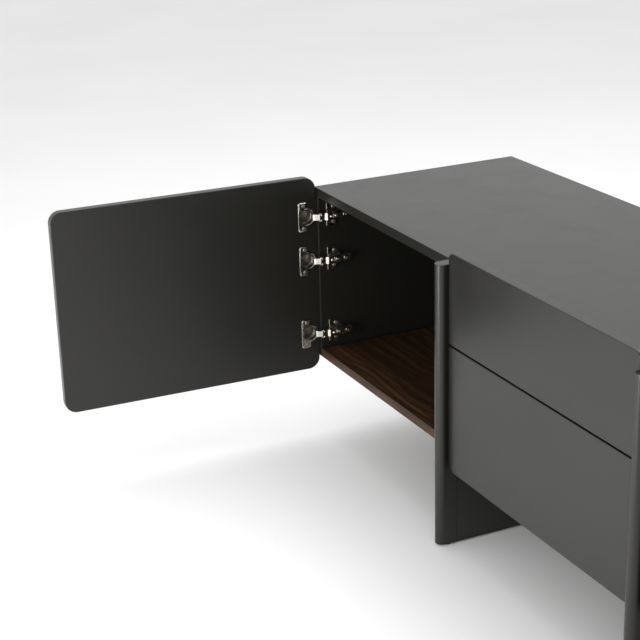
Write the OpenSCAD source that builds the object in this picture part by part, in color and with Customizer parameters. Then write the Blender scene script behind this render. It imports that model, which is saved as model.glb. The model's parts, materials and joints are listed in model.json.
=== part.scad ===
// Low sideboard: two hinged doors beside two stacked drawers, carried on two
// full-depth upright slabs that run down past the carcass as legs.
// Drawn with its left end at x = 0 and the carcass front at y = 0, then moved
// so that the origin is the centre of its footprint, on the floor.

/* [Carcass] */
// Clear width of each door bay, end panel to upright
bay_w = 539; // [440:1:560]
// Clear width of the drawer bay, upright to upright
drawer_bay_w = 557; // [460:1:700]
// Height from the underside of the carcass to the top surface
carcass_h = 368; // [340:1:420]
// Depth of the top panel
depth = 475; // [460:1:520]
// Gap between the floor and the carcass
leg_clear = 180; // [120:1:220]
// Thickness of the top panel
top_t = 19; // [18:1:25]
// Thickness of the bottom panels
bottom_t = 18; // [16:1:22]
// Thickness of the end panels
side_t = 18; // [16:1:22]
// Thickness of the back panels
back_t = 8; // [6:1:10]

/* [Uprights] */
// Thickness of the two uprights
upright_t = 25; // [22:1:30]
// How far an upright's rounded nose stands out in front of the carcass
nose_out = 38; // [30:1:50]
// Height of the floor glides
glide_h = 4; // [2:1:6]

/* [Fronts] */
// Thickness of the doors and drawer fronts
front_t = 18; // [16:1:20]
// Gap between the fronts and the carcass
front_gap = 2.5; // [2.5:0.1:3]
// How far the fronts stand above the top and hang below the carcass
front_lip = 24; // [10:1:30]
// Radius of the doors' corners
corner_r = 24; // [8:1:30]
// Radius of the drawer fronts' outer corners
drawer_corner_r = 15; // [8:1:30]
// Gap between neighbouring fronts
seam = 3; // [2.5:0.5:4]
// How far a door stops short of the end panel's outer face
end_reveal = 1; // [0.5:0.5:2]
// Height of the upper drawer front
upper_front_h = 170.5; // [150:0.5:190]
// Angle at which the left door stands open
door_open_angle = 92; // [80:1:95]

/* [Drawer boxes] */
// Thickness of the box sides and back
box_t = 14; // [12:1:16]
// Thickness of the box bottoms
box_bottom_t = 8; // [6:1:10]
// Depth of the boxes, front to back
box_depth = 450; // [400:1:450]
// Height of the upper box
upper_box_h = 98; // [80:1:105]
// Height of the lower box
lower_box_h = 162; // [120:1:170]
// Length of the runners
runner_l = 436; // [380:1:440]

/* [Hinges] */
// Distance of each hinge below the top surface
hinge_drops = [58, 152, 312];
// Diameter of the hinge cups
cup_d = 35; // [34.5:0.5:35.5]
// Distance from the door's edge to the middle of a cup
cup_edge = 21.5; // [21:0.5:22.5]
// Distance between the two cup screws
cup_screw_pitch = 48; // [45:1:52]

/* [Hidden] */
$fn = 48;

// Colours
lacquer = [0.2, 0.2, 0.195];
walnut = [0.26, 0.16, 0.11];
steel = [0.75, 0.75, 0.74];
zinc = [0.6, 0.61, 0.62];
nylon = [0.1, 0.1, 0.1];
beech = [0.72, 0.6, 0.44];

// Levels and places, in the drawing frame
total_w = 2 * (side_t + bay_w + upright_t) + drawer_bay_w;
top_z = leg_clear + carcass_h;
under_top_z = top_z - top_t;
floor_z = leg_clear + bottom_t;
board_y1 = depth - back_t;
upright_xs = [side_t + bay_w, total_w - side_t - bay_w - upright_t];
door_x0 = end_reveal;
door_w = upright_xs[0] - seam - door_x0;
front_z0 = leg_clear - front_lip;
front_z1 = top_z + front_lip;
front_h = front_z1 - front_z0;
drawer_x0 = upright_xs[0] + upright_t + seam;
drawer_w = drawer_bay_w - 2 * seam;
lower_front_h = front_h - upper_front_h - seam;
face_y = -front_gap - front_t;

// Door axis: inside the door's thickness, close to its edge, so that the edge
// turns just clear of the carcass
axis_from_edge = 6.4;
axis_y = -10.2;
axis_x = door_x0 + axis_from_edge;

// Footprint: the open left door reaches furthest left and furthest forward
function turned(p, a) = [
    axis_x + (p[0] - axis_x) * cos(a) + (p[1] - axis_y) * sin(a),
    axis_y - (p[0] - axis_x) * sin(a) + (p[1] - axis_y) * cos(a)
];
door_tips = [for (y = [-front_gap, face_y]) turned([door_x0 + door_w, y], door_open_angle)];
footprint_x0 = min(0, door_tips[0][0], door_tips[1][0]);
footprint_y0 = min(door_tips[0][1], door_tips[1][1]);
origin_x = (footprint_x0 + total_w) / 2;
origin_y = (footprint_y0 + depth) / 2;

// Joinery
dowel_r = 4;
dowel_fit = 0.05;
dowel_in_edge = 18;
dowel_in_face = 11;
dowel_ys = [60, 235, 410];
board_mid_xs = [
    side_t / 2, upright_xs[0] + upright_t / 2, upright_xs[1] + upright_t / 2, total_w - side_t / 2
];
bay_spans = [
    [side_t, upright_xs[0]],
    [upright_xs[0] + upright_t, upright_xs[1]],
    [upright_xs[1] + upright_t, total_w - side_t]
];
back_splits = [0, board_mid_xs[1], board_mid_xs[2], total_w];
bottom_dowel_shift = 25;
glide_r = 10;
glide_pin_r = 1.2;
glide_pin_l = 14;
glide_inset = 22;
glide_mid_y = 210;
overlap = 0.01;
back_screw_r = 1.5;
back_screw_l = 25;
back_head_r = 3;
back_head_t = 1.3;
back_screw_inset = 6;
back_screw_zs = [leg_clear + 30, leg_clear + carcass_h / 2, under_top_z - 30];

// Hinge
cup_r = cup_d / 2;
cup_wall = 0.8;
cup_depth = 14.4;
flange_t = 1.2;
rim_r = cup_r + 1.5;
cup_screw_shift = 6;
ear_shift = 8;
ear_w = 20;
ear_h = 62;
cup_screw_r = 1.75;
cup_screw_in = 12;
cup_head_r = 3.8;
cup_head_t = 1.6;
cup_through = 40;
plate_y = 33;
plate_screw_pitch = 32;
plate_screw_r = 2;
plate_screw_in = 11;
plate_head_r = 3.6;
plate_head_t = 1.4;
plate_wing_y0 = 17;
plate_wing_w = 24;
plate_wing_h = 50;
plate_t = 2.5;
saddle_y0 = 10;
saddle_l = 50;
saddle_half = 6;
saddle_gap = 0.6;
arm_half = 8.2;
arm_wall = 1.4;
arm_x0 = side_t + 4.6;
arm_x1 = side_t + 16;
arm_y0 = -4.6;
arm_y1 = 64;
fork_l = 14;
fix_hole_r = 2.3;
fix_screw_clear = 0.5;
pin_fit = 0.05;
link_pin = [31.5, -1];
link_knee = [26.5, -15.5];
link_tip = [12.5, -13.5];
link_ratio = 0.16;
link_half = 6.2;
link_t = 2.6;
link_pin_r = 1.5;
knuckle_r = 1.8;

// Runner profile, measured from the upright's face towards the drawer box
runner_space = 13;
rail_t = 1.2;
cabinet_rail = [0, 9, 22.5];
middle_rail = [4, 11, 18];
drawer_rail = [6.5, runner_space, 13];
box_w = drawer_bay_w - 2 * runner_space;
bay_x0 = drawer_x0 - seam;
box_x0 = bay_x0 + runner_space;
upper_box_z = top_z - 134;
lower_box_z = floor_z + 18;
runner_y0 = 12;
groove_in = 6;
groove_up = 12;
groove_fit = 0.1;
rail_screw_ys = [runner_y0 + 35, runner_y0 + 290];
rail_screw_r = 1.6;
rail_screw_in = 10;
rail_head_r = 3;
rail_head_t = 1.2;
fixing_r = 2;
fixing_in = 12;
fixing_head_r = 4;
fixing_head_t = 1.8;
fixing_inset = 60;
fixing_up = 28;
fixing_down = 20;
upper_rail_up = upper_box_h / 2;
lower_rail_up = 50;

// ---- Shared shapes ----

// Everything is drawn in the drawing frame and moved by this
module placed() translate([-origin_x, -origin_y, 0]) children();

// Right-hand copy of a left-hand piece
module mirrored() translate([total_w, 0, 0]) mirror([1, 0, 0]) children();

// Turns a closed left door's pieces to the angle at which the door stands
module opened() translate([axis_x, axis_y, 0]) rotate([0, 0, -door_open_angle])
    translate([-axis_x, -axis_y, 0]) children();

// Rectangle whose listed corners have the radius r: [left low, right low, left high, right high]
module front_outline(w, h, r, round_corners) {
    difference() {
        square([w, h]);
        for (i = [0:1], j = [0:1])
            if (round_corners[i + 2 * j])
                translate([i * w, j * h]) mirror([i, 0]) mirror([0, j]) difference() {
                    translate([-1, -1]) square(r + 1);
                    translate([r, r]) circle(r, $fn = 96);
                }
    }
}

// Front panel standing on z0, its inner face behind the seam gap
module front_panel(x0, z0, w, h, r, round_corners) {
    translate([x0, -front_gap, z0]) rotate([90, 0, 0])
        linear_extrude(front_t) front_outline(w, h, r, round_corners);
}

// Round bar along y from a point towards the back
module bar_y(x, y, z, r, l) translate([x, y, z]) rotate([-90, 0, 0]) cylinder(r = r, h = l);

// Round bar along x from a point towards the right
module bar_x(x, y, z, r, l) translate([x, y, z]) rotate([0, 90, 0]) cylinder(r = r, h = l);

// Straight strip in plan between two points
module strip(p, q, t) {
    run = q - p;
    translate(p) rotate(atan2(run[1], run[0])) translate([0, -t / 2]) square([norm(run), t]);
}

// ---- Carcass ----

module top_dowels(extra = 0) {
    for (x = board_mid_xs, y = dowel_ys)
        translate([x, y, under_top_z - dowel_in_edge - extra])
            cylinder(r = dowel_r + extra, h = dowel_in_edge + dowel_in_face + 2 * extra);
}

module bottom_dowels(extra = 0) {
    for (span = bay_spans, y = dowel_ys) {
        bar_x(span[0] - dowel_in_face - extra, y + bottom_dowel_shift, leg_clear + bottom_t / 2,
            dowel_r + extra, dowel_in_face + dowel_in_edge + 2 * extra);
        bar_x(span[1] - dowel_in_edge - extra, y + bottom_dowel_shift, leg_clear + bottom_t / 2,
            dowel_r + extra, dowel_in_face + dowel_in_edge + 2 * extra);
    }
}

// Where the back panels are screwed on: [x, z], along their sides and their lower edge
back_screw_spots = [
    for (bay = [0:2], x = [
        back_splits[bay] + back_screw_inset, back_splits[bay + 1] - back_screw_inset
    ], z = back_screw_zs) [x, z],
    for (bay = [0:2], k = [1:3]) [
        back_splits[bay] + (back_splits[bay + 1] - back_splits[bay]) * k / 4,
        leg_clear + bottom_t / 2
    ]
];

module back_screw_shanks(extra = 0) {
    for (s = back_screw_spots)
        bar_y(s[0], depth - back_screw_l - extra, s[1], back_screw_r + extra, back_screw_l + extra);
}

module plate_screw_holes(extra = 0) {
    for (drop = hinge_drops, s = [-1, 1])
        bar_x(side_t - plate_screw_in - extra, plate_y, top_z - drop + s * plate_screw_pitch / 2,
            plate_screw_r + extra, plate_screw_in + extra);
}

// Holes in an upright for the screws of the cabinet rails
module rail_screw_holes(x, extra) {
    for (z = [upper_rail_z(), lower_rail_z()], y = rail_screw_ys)
        bar_x(x - rail_screw_in - extra, y, z, rail_screw_r + extra, rail_screw_in + extra);
}

function upper_rail_z() = upper_box_z + upper_rail_up;
function lower_rail_z() = lower_box_z + lower_rail_up;

module top_panel() placed() color(lacquer) difference() {
    translate([0, 0, under_top_z]) cube([total_w, depth, top_t]);
    top_dowels(dowel_fit);
}

module end_panel() color(lacquer) difference() {
    translate([0, 0, leg_clear]) cube([side_t, board_y1, carcass_h - top_t]);
    top_dowels(dowel_fit);
    bottom_dowels(dowel_fit);
    plate_screw_holes(dowel_fit);
    back_screw_shanks(dowel_fit);
}

module left_end_panel() placed() end_panel();

module right_end_panel() placed() mirrored() end_panel();

// Slab with a half-round nose: full height in front, under the top panel behind
module upright() color(lacquer) difference() {
    union() {
        translate([upright_xs[0], 0, glide_h]) cube([upright_t, board_y1, under_top_z - glide_h]);
        translate([upright_xs[0], upright_t / 2 - nose_out, glide_h])
            cube([upright_t, nose_out - upright_t / 2, top_z - glide_h]);
        translate([upright_xs[0] + upright_t / 2, upright_t / 2 - nose_out, glide_h])
            intersection() {
                cylinder(r = upright_t / 2, h = top_z - glide_h, $fn = 96);
                translate([-upright_t, -upright_t, -1]) cube([2 * upright_t, upright_t, top_z]);
            }
    }
    top_dowels(dowel_fit);
    bottom_dowels(dowel_fit);
    back_screw_shanks(dowel_fit);
    rail_screw_holes(upright_xs[0] + upright_t, dowel_fit);
    glide_pins(dowel_fit);
}

module left_upright() placed() upright();

module right_upright() placed() mirrored() upright();

module bottom_board(bay) placed() color(walnut) difference() {
    translate([bay_spans[bay][0], 0, leg_clear])
        cube([bay_spans[bay][1] - bay_spans[bay][0], board_y1, bottom_t]);
    bottom_dowels(dowel_fit);
    back_screw_shanks(dowel_fit);
}

module left_bottom() bottom_board(0);

module middle_bottom() bottom_board(1);

module right_bottom() bottom_board(2);

module back_board(bay) placed() color(lacquer) difference() {
    translate([back_splits[bay], board_y1, leg_clear])
        cube([back_splits[bay + 1] - back_splits[bay], back_t, carcass_h - top_t]);
    back_screw_shanks(dowel_fit);
}

module left_back() back_board(0);

module middle_back() back_board(1);

module right_back() back_board(2);

glide_ys = [-nose_out + glide_inset, glide_mid_y, board_y1 - glide_inset];

module glide_pins(extra = 0) {
    for (x = [board_mid_xs[1], board_mid_xs[2]], y = glide_ys)
        translate([x, y, glide_h - overlap]) cylinder(r = glide_pin_r + extra, h = glide_pin_l + extra);
}

module floor_glides() placed() color(nylon) {
    for (x = [board_mid_xs[1], board_mid_xs[2]], y = glide_ys)
        translate([x, y, 0]) cylinder(r = glide_r, h = glide_h);
    glide_pins();
}

module panel_dowels() placed() color(beech) {
    top_dowels();
    bottom_dowels();
}

module back_screws() placed() color(zinc) {
    back_screw_shanks();
    for (s = back_screw_spots)
        bar_y(s[0], depth - overlap, s[1], back_head_r, back_head_t + overlap);
}

// ---- Hinges, drawn on the left end at height zero, closed ----

module at_hinges() for (drop = hinge_drops) translate([0, 0, top_z - drop]) children();

// Cruciform plate on the end panel, with a central rib that the arm sits on
module mounting_plate() {
    translate([side_t, plate_wing_y0, -plate_wing_h / 2])
        cube([plate_t, plate_wing_w, plate_wing_h]);
    translate([side_t, saddle_y0, -saddle_half])
        cube([arm_x0 - side_t - saddle_gap, saddle_l, 2 * saddle_half]);
}

// Channel-shaped arm, open towards the panel and forked at the link's pin
module hinge_arm() difference() {
    arm_l = arm_y1 - arm_y0;
    inside = 2 * (arm_half - arm_wall);
    translate([arm_x0, arm_y0, -arm_half]) cube([arm_x1 - arm_x0, arm_l, 2 * arm_half]);
    translate([arm_x0 - 1, arm_y0 - 1, -inside / 2])
        cube([arm_x1 - arm_x0 + 1 - arm_wall, arm_l + 2, inside]);
    translate([arm_x0 - 1, arm_y0 - 1, -inside / 2]) cube([arm_x1, fork_l + 1, inside]);
    translate([link_pin[0], link_pin[1], -2 * arm_half])
        cylinder(r = link_pin_r + pin_fit, h = 4 * arm_half);
    bar_x(arm_x1 - 2 * arm_wall, plate_y, 0, fix_hole_r, 4 * arm_wall);
}

// Pin across the fork, and the fixing screw that holds the arm to its plate
module arm_hardware() {
    translate([link_pin[0], link_pin[1], -arm_half]) cylinder(r = link_pin_r, h = 2 * arm_half);
    bar_x(side_t + fix_screw_clear, plate_y, 0, plate_screw_r, arm_x1 - side_t - fix_screw_clear);
    bar_x(arm_x1, plate_y, 0, plate_head_r, plate_head_t);
}

// Gooseneck link, drawn where it stands with the door open
module hinge_link() translate([0, 0, -link_half]) linear_extrude(2 * link_half) difference() {
    union() {
        strip(link_pin, link_knee, link_t);
        strip(link_knee, link_tip, link_t);
        translate(link_pin) circle(2 * link_pin_r);
        translate(link_knee) circle(knuckle_r);
        translate(link_tip) circle(knuckle_r);
    }
    translate(link_pin) circle(link_pin_r + pin_fit);
}

module cup_screw_spots(r, from, l) {
    for (s = [-1, 1])
        bar_y(door_x0 + cup_edge + cup_screw_shift, from, s * cup_screw_pitch / 2, r, l);
}

// Round cup let into the door, with a flange that has one ear above and one below
module hinge_cup() {
    cx = door_x0 + cup_edge;
    difference() {
        union() {
            bar_y(cx, -front_gap - cup_depth, 0, cup_r - pin_fit, cup_depth);
            bar_y(cx, -front_gap, 0, rim_r, flange_t);
            translate([cx + ear_shift - ear_w / 2, -front_gap, -ear_h / 2])
                cube([ear_w, flange_t, ear_h]);
        }
        bar_y(cx, -front_gap - cup_depth + cup_wall, 0, cup_r - pin_fit - cup_wall, cup_through);
        cup_screw_spots(cup_screw_r + pin_fit, -front_gap - 1, cup_through);
    }
}

module cup_screw_pair() {
    cup_screw_spots(cup_screw_r, -front_gap - cup_screw_in, cup_screw_in + flange_t);
    cup_screw_spots(cup_head_r, -front_gap + flange_t, cup_head_t);
}

module mounting_plates() at_hinges() difference() {
    mounting_plate();
    for (z = [-plate_screw_pitch / 2, 0, plate_screw_pitch / 2])
        bar_x(side_t - 1, plate_y, z, plate_screw_r + pin_fit, arm_x1);
}

module hinge_arms() at_hinges() {
    hinge_arm();
    arm_hardware();
}

module plate_screws() at_hinges() for (s = [-1, 1]) {
    bar_x(side_t - plate_screw_in, plate_y, s * plate_screw_pitch / 2, plate_screw_r,
        plate_screw_in + plate_t);
    bar_x(side_t + plate_t, plate_y, s * plate_screw_pitch / 2, plate_head_r, plate_head_t);
}

module left_mounting_plates() placed() color(steel) mounting_plates();

module left_hinge_arms() placed() color(steel) hinge_arms();

module left_plate_screws() placed() color(zinc) plate_screws();

module left_hinge_links() placed() color(steel) at_hinges() hinge_link();

module right_mounting_plates() placed() mirrored() color(steel) mounting_plates();

module right_hinge_arms() placed() mirrored() color(steel) hinge_arms();

module right_plate_screws() placed() mirrored() color(zinc) plate_screws();

// The right door is stored closed, so its links lie folded
module right_hinge_links() placed() mirrored() color(steel) at_hinges()
    translate([link_pin[0], link_pin[1], 0]) rotate([0, 0, -link_ratio * door_open_angle])
        translate([-link_pin[0], -link_pin[1], 0]) hinge_link();

// ---- Doors, drawn closed ----

module door_panel() difference() {
    front_panel(door_x0, front_z0, door_w, front_h, corner_r, [true, true, true, true]);
    at_hinges() {
        bar_y(door_x0 + cup_edge, -front_gap - cup_depth - pin_fit, 0, cup_r, cup_through);
        cup_screw_spots(cup_screw_r + pin_fit, -front_gap - cup_screw_in - pin_fit, cup_through);
    }
}

module left_door_panel() placed() color(lacquer) opened() door_panel();

module left_hinge_cups() placed() color(steel) opened() at_hinges() hinge_cup();

module left_cup_screws() placed() color(zinc) opened() at_hinges() cup_screw_pair();

module right_door_panel() placed() color(lacquer) mirrored() door_panel();

module right_hinge_cups() placed() color(steel) mirrored() at_hinges() hinge_cup();

module right_cup_screws() placed() color(zinc) mirrored() at_hinges() cup_screw_pair();

// ---- Drawers ----

fixing_xs = [box_x0 + fixing_inset, box_x0 + box_w - fixing_inset];

// Screws from inside the box front into the drawer front
module front_fixings(z0, h, extra = 0) {
    for (x = fixing_xs, z = [z0 + fixing_up, z0 + h - fixing_down])
        bar_y(x, -front_gap - fixing_in - extra, z, fixing_r + extra, box_t + fixing_in + extra);
}

module fixing_heads(z0, h) {
    for (x = fixing_xs, z = [z0 + fixing_up, z0 + h - fixing_down])
        bar_y(x, -front_gap + box_t, z, fixing_head_r, fixing_head_t);
}

// Side of a box, grooved for the bottom; side is 0 on the left and 1 on the right
module box_side(z0, h, side) placed() color(lacquer) difference() {
    translate([box_x0 + side * (box_w - box_t), -front_gap + box_t, z0])
        cube([box_t, box_depth - box_t, h]);
    bottom_space(z0);
    for (y = rail_screw_ys)
        bar_x(box_x0 + side * (box_w - rail_screw_in), y,
            z0 + (z0 == upper_box_z ? upper_rail_up : lower_rail_up),
            rail_screw_r + dowel_fit, rail_screw_in);
}

// Room that the box bottom and its grooves take
module bottom_space(z0) {
    translate([box_x0 + box_t - groove_in, -front_gap + box_t - groove_in, z0 + groove_up])
        cube([
            box_w - 2 * (box_t - groove_in),
            box_depth - 2 * (box_t - groove_in),
            box_bottom_t + groove_fit
        ]);
}

module box_front(z0, h) placed() color(lacquer) difference() {
    translate([box_x0, -front_gap, z0]) cube([box_w, box_t, h]);
    bottom_space(z0);
    front_fixings(z0, h, dowel_fit);
}

module box_back(z0, h) placed() color(lacquer) difference() {
    translate([box_x0 + box_t, box_depth - front_gap - box_t, z0])
        cube([box_w - 2 * box_t, box_t, h]);
    bottom_space(z0);
}

module box_bottom(z0) placed() color(walnut)
    translate([
        box_x0 + box_t - groove_in + groove_fit,
        -front_gap + box_t - groove_in + groove_fit,
        z0 + groove_up
    ]) cube([
        box_w - 2 * (box_t - groove_in + groove_fit),
        box_depth - 2 * (box_t - groove_in + groove_fit),
        box_bottom_t
    ]);

module upper_drawer_front() placed() color(lacquer) difference() {
    front_panel(drawer_x0, front_z1 - upper_front_h, drawer_w, upper_front_h, drawer_corner_r,
        [false, false, true, true]);
    front_fixings(upper_box_z, upper_box_h, dowel_fit);
}

module upper_drawer_box_front() box_front(upper_box_z, upper_box_h);

module upper_drawer_left_side() box_side(upper_box_z, upper_box_h, 0);

module upper_drawer_right_side() box_side(upper_box_z, upper_box_h, 1);

module upper_drawer_back() box_back(upper_box_z, upper_box_h);

module upper_drawer_bottom() box_bottom(upper_box_z);

module upper_drawer_screws() placed() color(zinc) {
    front_fixings(upper_box_z, upper_box_h);
    fixing_heads(upper_box_z, upper_box_h);
}

module upper_drawer_rail_screws() drawer_rail_screws(upper_rail_z());

module lower_drawer_front() placed() color(lacquer) difference() {
    front_panel(drawer_x0, front_z0, drawer_w, lower_front_h, drawer_corner_r, [true, true, false, false]);
    front_fixings(lower_box_z, lower_box_h, dowel_fit);
}

module lower_drawer_box_front() box_front(lower_box_z, lower_box_h);

module lower_drawer_left_side() box_side(lower_box_z, lower_box_h, 0);

module lower_drawer_right_side() box_side(lower_box_z, lower_box_h, 1);

module lower_drawer_back() box_back(lower_box_z, lower_box_h);

module lower_drawer_bottom() box_bottom(lower_box_z);

module lower_drawer_screws() placed() color(zinc) {
    front_fixings(lower_box_z, lower_box_h);
    fixing_heads(lower_box_z, lower_box_h);
}

module lower_drawer_rail_screws() drawer_rail_screws(lower_rail_z());

// ---- Runners ----

// Channel profile standing off the upright: [from, to, half height], its web at
// the near or the far side
module channel(profile, web_far) {
    from = profile[0];
    to = profile[1];
    half = profile[2];
    translate([web_far ? to - rail_t : from, -half]) square([rail_t, 2 * half]);
    for (z = [-half, half - rail_t]) translate([from, z]) square([to - from, rail_t]);
}

// A pair of rails, one on each side of the drawer bay
module rail_pair(z, profile, web_far) {
    for (side = [0, 1])
        translate([bay_x0 + side * drawer_bay_w, runner_y0, z])
            mirror([side, 0, 0]) translate([0, runner_l, 0]) rotate([90, 0, 0])
                linear_extrude(runner_l) channel(profile, web_far);
}

module upper_cabinet_rails() placed() color(steel) difference() {
    rail_pair(upper_rail_z(), cabinet_rail, false);
    rail_fixing_holes(upper_rail_z());
}

module lower_cabinet_rails() placed() color(steel) difference() {
    rail_pair(lower_rail_z(), cabinet_rail, false);
    rail_fixing_holes(lower_rail_z());
}

// Holes through the cabinet rails' webs, under the screw heads
module rail_fixing_holes(z) {
    for (y = rail_screw_ys)
        bar_x(bay_x0, y, z, rail_screw_r + dowel_fit, drawer_bay_w);
}

module upper_middle_rails() placed() color(steel) rail_pair(upper_rail_z(), middle_rail, false);

module lower_middle_rails() placed() color(steel) rail_pair(lower_rail_z(), middle_rail, false);

module upper_drawer_rails() placed() color(steel) difference() {
    rail_pair(upper_rail_z(), drawer_rail, true);
    rail_fixing_holes(upper_rail_z());
}

module lower_drawer_rails() placed() color(steel) difference() {
    rail_pair(lower_rail_z(), drawer_rail, true);
    rail_fixing_holes(lower_rail_z());
}

// Screw along x with its head inside a rail: the head's seat is at x, its shank towards dir
module rail_screw(x, y, z, dir) {
    bar_x(dir > 0 ? x - rail_t : x - rail_screw_in, y, z, rail_screw_r, rail_screw_in + rail_t);
    bar_x(dir > 0 ? x - rail_t - rail_head_t : x + rail_t, y, z, rail_head_r, rail_head_t);
}

module rail_screws() placed() color(zinc)
    for (z = [upper_rail_z(), lower_rail_z()], y = rail_screw_ys) {
        rail_screw(bay_x0, y, z, -1);
        rail_screw(bay_x0 + drawer_bay_w, y, z, 1);
    }

module drawer_rail_screws(z) placed() color(zinc)
    for (y = rail_screw_ys) {
        rail_screw(bay_x0 + runner_space, y, z, 1);
        rail_screw(bay_x0 + drawer_bay_w - runner_space, y, z, -1);
    }

top_panel();
left_end_panel();
right_end_panel();
left_upright();
right_upright();
left_bottom();
middle_bottom();
right_bottom();
left_back();
middle_back();
right_back();
floor_glides();
panel_dowels();
back_screws();
left_mounting_plates();
left_hinge_arms();
left_plate_screws();
left_hinge_links();
right_mounting_plates();
right_hinge_arms();
right_plate_screws();
right_hinge_links();
left_door_panel();
left_hinge_cups();
left_cup_screws();
right_door_panel();
right_hinge_cups();
right_cup_screws();
upper_drawer_front();
upper_drawer_box_front();
upper_drawer_left_side();
upper_drawer_right_side();
upper_drawer_back();
upper_drawer_bottom();
upper_drawer_screws();
upper_drawer_rail_screws();
lower_drawer_front();
lower_drawer_box_front();
lower_drawer_left_side();
lower_drawer_right_side();
lower_drawer_back();
lower_drawer_bottom();
lower_drawer_screws();
lower_drawer_rail_screws();
upper_cabinet_rails();
upper_middle_rails();
upper_drawer_rails();
lower_cabinet_rails();
lower_middle_rails();
lower_drawer_rails();
rail_screws();
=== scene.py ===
import json
import math

import bmesh
import bpy
from mathutils import Matrix, Vector


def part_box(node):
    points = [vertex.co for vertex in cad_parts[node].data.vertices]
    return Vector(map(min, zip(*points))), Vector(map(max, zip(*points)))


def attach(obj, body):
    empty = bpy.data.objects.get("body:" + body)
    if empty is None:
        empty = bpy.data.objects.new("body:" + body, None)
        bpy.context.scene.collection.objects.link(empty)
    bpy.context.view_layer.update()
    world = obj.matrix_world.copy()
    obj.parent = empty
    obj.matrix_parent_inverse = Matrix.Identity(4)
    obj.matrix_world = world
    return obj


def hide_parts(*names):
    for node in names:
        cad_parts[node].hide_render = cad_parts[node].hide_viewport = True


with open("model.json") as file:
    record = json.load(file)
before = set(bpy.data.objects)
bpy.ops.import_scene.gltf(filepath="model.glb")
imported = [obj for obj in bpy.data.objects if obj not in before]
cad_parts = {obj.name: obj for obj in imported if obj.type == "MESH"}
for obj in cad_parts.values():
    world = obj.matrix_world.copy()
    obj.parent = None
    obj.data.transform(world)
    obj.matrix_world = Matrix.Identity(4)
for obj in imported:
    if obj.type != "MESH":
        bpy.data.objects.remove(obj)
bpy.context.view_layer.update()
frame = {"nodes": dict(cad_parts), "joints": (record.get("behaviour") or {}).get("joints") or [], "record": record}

# ---------------------------------------------------------------- the frame
# Pieces are drawn in millimetres from the carcass's left front corner on the
# floor: x to the right, y to the back, z up. A right-hand piece is the mirror
# image of a left-hand one.

MM = 0.001
TOP_LO, TOP_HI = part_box("top_panel")
TOP_Z = TOP_HI.z / MM
LEFT = Matrix.Translation((TOP_LO.x, TOP_LO.y, 0)) @ Matrix.Scale(MM, 4)
RIGHT = (
    Matrix.Translation((TOP_HI.x, TOP_LO.y, 0))
    @ Matrix.Scale(MM, 4)
    @ Matrix.Scale(-1, 4, (1, 0, 0))
)
JOINTS = {j["name"]: j for j in frame["joints"]}


def in_mm(node):
    """A node's box, in millimetres in the drawing frame."""
    lo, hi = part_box(node)
    back = LEFT.inverted()
    return back @ lo, back @ hi


def move(x, y, z=0.0):
    return Matrix.Translation((x, y, z))


def turned(degrees, axis):
    return Matrix.Rotation(math.radians(degrees), 4, axis)


def turn_about(x, y, degrees):
    return move(x, y) @ turned(degrees, "Z") @ move(-x, -y)


# Stand a shape that points along z along y or along x instead
TO_BACK = turned(-90, "X")
TO_RIGHT = turned(90, "Y")

# Swing of the left door as it stands, from its joint
swing = JOINTS["left_door_swing"]
DOOR_ANGLE = -swing["range_deg"][0]
AXIS = LEFT.inverted() @ Vector(swing["pos_m"])
LEFT_DOOR = LEFT @ turn_about(AXIS.x, AXIS.y, -DOOR_ANGLE)

# A drawing plane for each direction a shape is thickened in
ALONG = {
    "x": Matrix(((0, 0, 1, 0), (1, 0, 0, 0), (0, 1, 0, 0), (0, 0, 0, 1))),
    "y": Matrix(((1, 0, 0, 0), (0, 0, 1, 0), (0, 1, 0, 0), (0, 0, 0, 1))),
    "z": Matrix.Identity(4),
}

# ---------------------------------------------------------------- materials


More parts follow.
